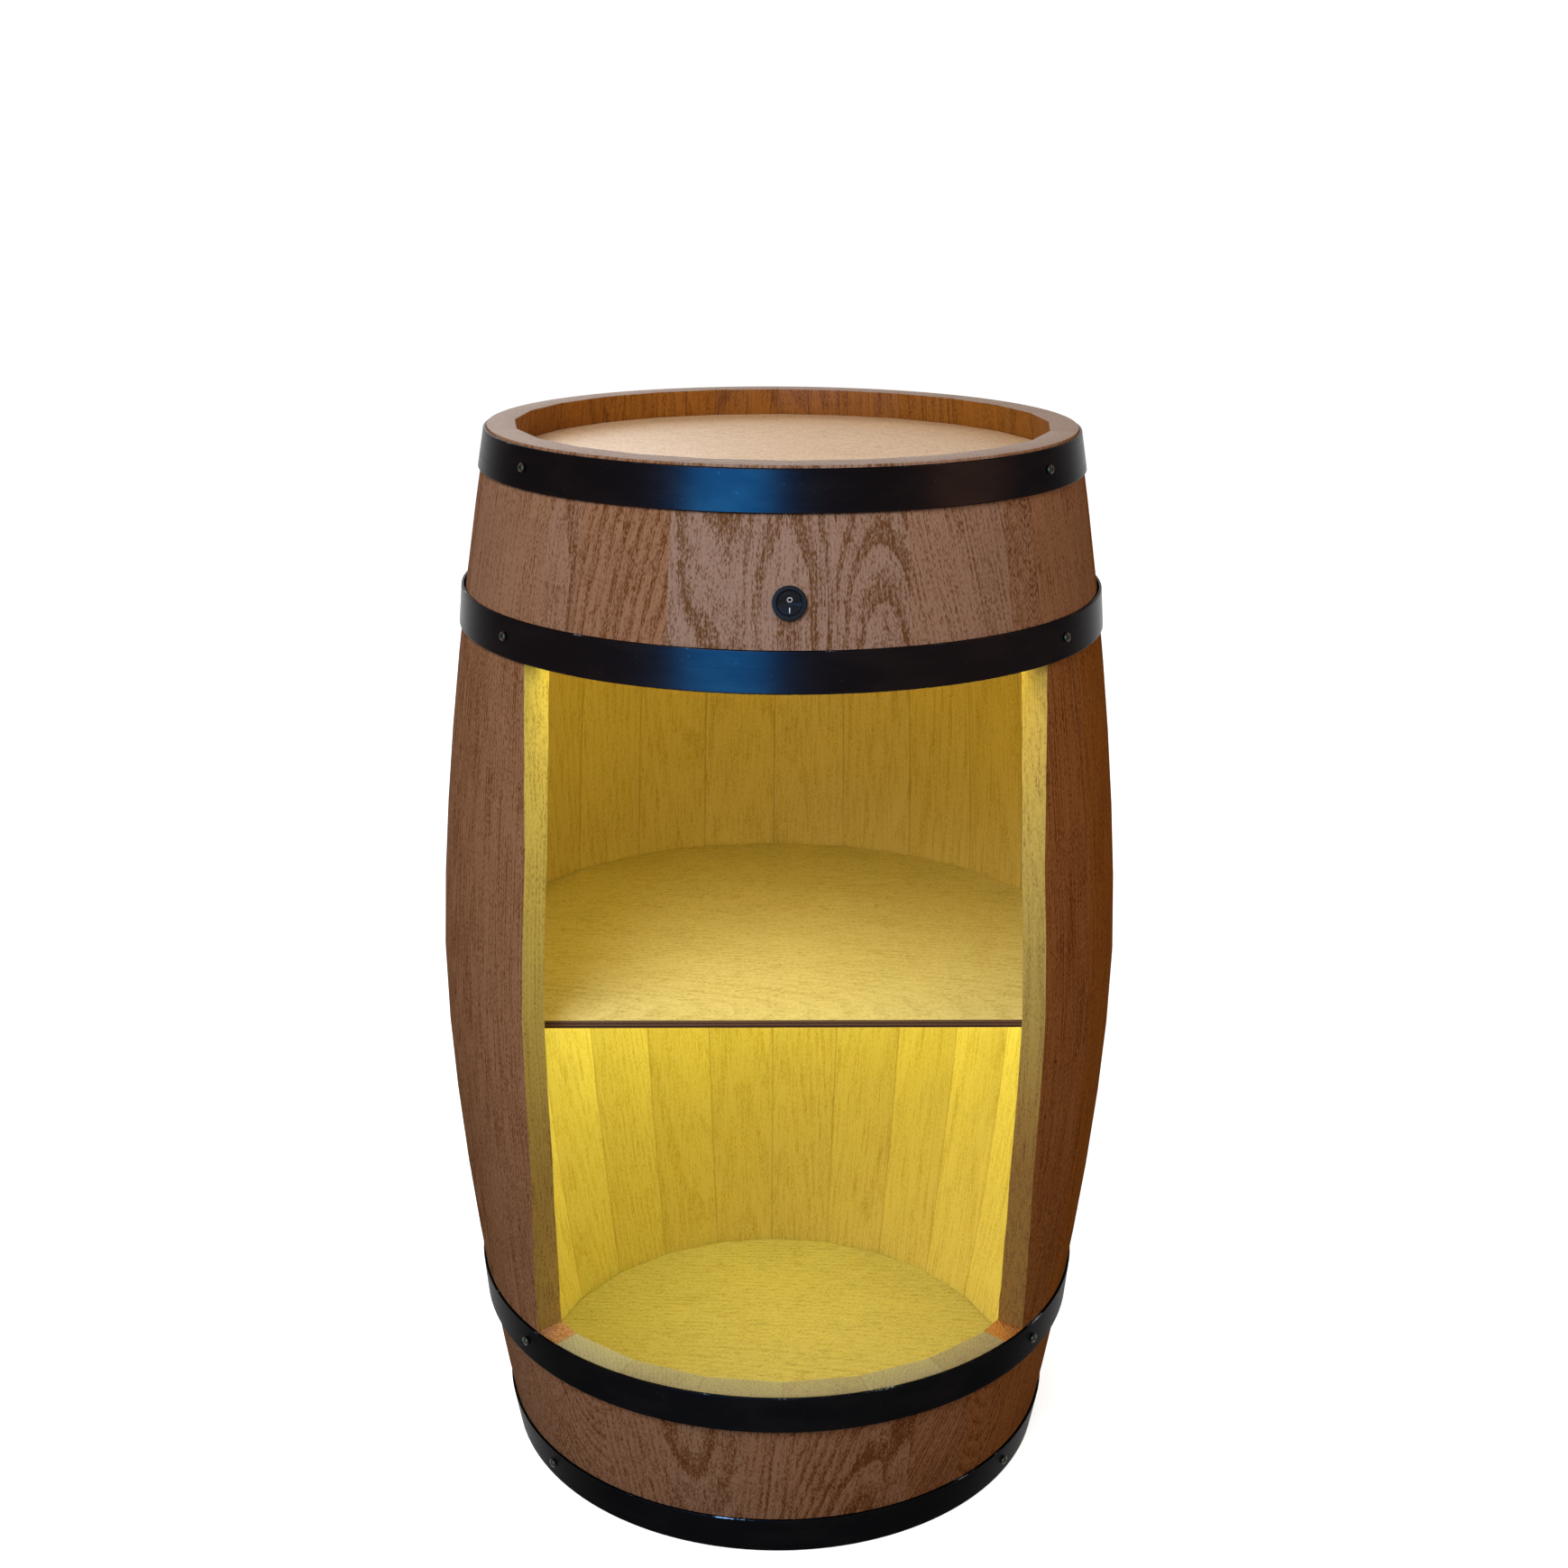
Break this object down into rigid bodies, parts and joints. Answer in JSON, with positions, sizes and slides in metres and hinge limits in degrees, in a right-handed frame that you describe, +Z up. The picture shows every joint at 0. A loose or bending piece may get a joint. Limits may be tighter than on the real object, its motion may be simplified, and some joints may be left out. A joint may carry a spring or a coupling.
{
  "type": "barrel bar cabinet",
  "caption": "Wooden barrel stood on end as a bar cabinet, with black steel hoops, an open front, a middle shelf, a recessed top, inside light strips and a rocker switch.",
  "frame": {"origin": "on the ground, in the middle of the box round the whole cabinet; the barrel's axis stands 8.3 mm in front of it", "axes": "+Z up, +X to the right as seen from the front, -Y out of the opening"},
  "size_m": [0.519, 0.5024, 0.8],
  "materials": {
    "stave_wood": "stained and waxed, open grain",
    "board_wood": "pale plywood, satin",
    "hoop_steel": "satin black, worn bright along the edges",
    "screw_steel": "black, slightly shiny",
    "pin_steel": "plain zinc-plated",
    "light_strip": "translucent, lit warm yellow",
    "switch_plastic": "black with white marks",
    "lead_sheath": "plain black"
  },
  "bodies": {
    "cabinet": {"stave_01": "stave_wood", "stave_02": "stave_wood", "stave_03": "stave_wood", "stave_04": "stave_wood", "stave_05": "stave_wood", "stave_06": "stave_wood", "stave_07": "stave_wood", "stave_08": "stave_wood", "stave_09": "stave_wood", "stave_10": "stave_wood", "stave_11": "stave_wood", "stave_12": "stave_wood", "stave_13": "stave_wood", "stave_14": "stave_wood", "stave_15": "stave_wood", "stave_16": "stave_wood", "stave_17": "stave_wood", "stave_18": "stave_wood", "front_stave_upper_1": "stave_wood", "front_stave_upper_2": "stave_wood", "front_stave_upper_3": "stave_wood", "front_stave_upper_4": "stave_wood", "front_stave_upper_5": "stave_wood", "front_stave_upper_6": "stave_wood", "front_stave_lower_1": "stave_wood", "front_stave_lower_2": "stave_wood", "front_stave_lower_3": "stave_wood", "front_stave_lower_4": "stave_wood", "front_stave_lower_5": "stave_wood", "front_stave_lower_6": "stave_wood", "hoop_top_chime": "hoop_steel", "hoop_upper_quarter": "hoop_steel", "hoop_lower_quarter": "hoop_steel", "hoop_bottom_chime": "hoop_steel", "screw_top_chime_left": "screw_steel", "screw_top_chime_right": "screw_steel", "screw_upper_quarter_left": "screw_steel", "screw_upper_quarter_right": "screw_steel", "screw_lower_quarter_left": "screw_steel", "screw_lower_quarter_right": "screw_steel", "screw_bottom_chime_left": "screw_steel", "screw_bottom_chime_right": "screw_steel", "top_board": "board_wood", "floor_board": "board_wood", "middle_shelf": "board_wood", "shelf_pin_1": "pin_steel", "shelf_pin_2": "pin_steel", "shelf_pin_3": "pin_steel", "shelf_pin_4": "pin_steel", "light_strip_upper": "light_strip", "light_strip_lower": "light_strip", "switch_housing": "switch_plastic", "power_inlet": "switch_plastic", "inlet_nut": "pin_steel", "lead_inlet_to_switch": "lead_sheath", "lead_switch_to_upper_strip": "lead_sheath", "lead_switch_to_lower_strip": "lead_sheath"},
    "rocker": {"switch_rocker": "switch_plastic"}
  },
  "joints": [
    {"name": "rocker_pivot", "type": "hinge", "parent": "cabinet", "child": "rocker", "pos_m": [0, -0.24245, 0.71184], "axis": [1, 0, 0], "range_deg": [-20, 0]}
  ]
}
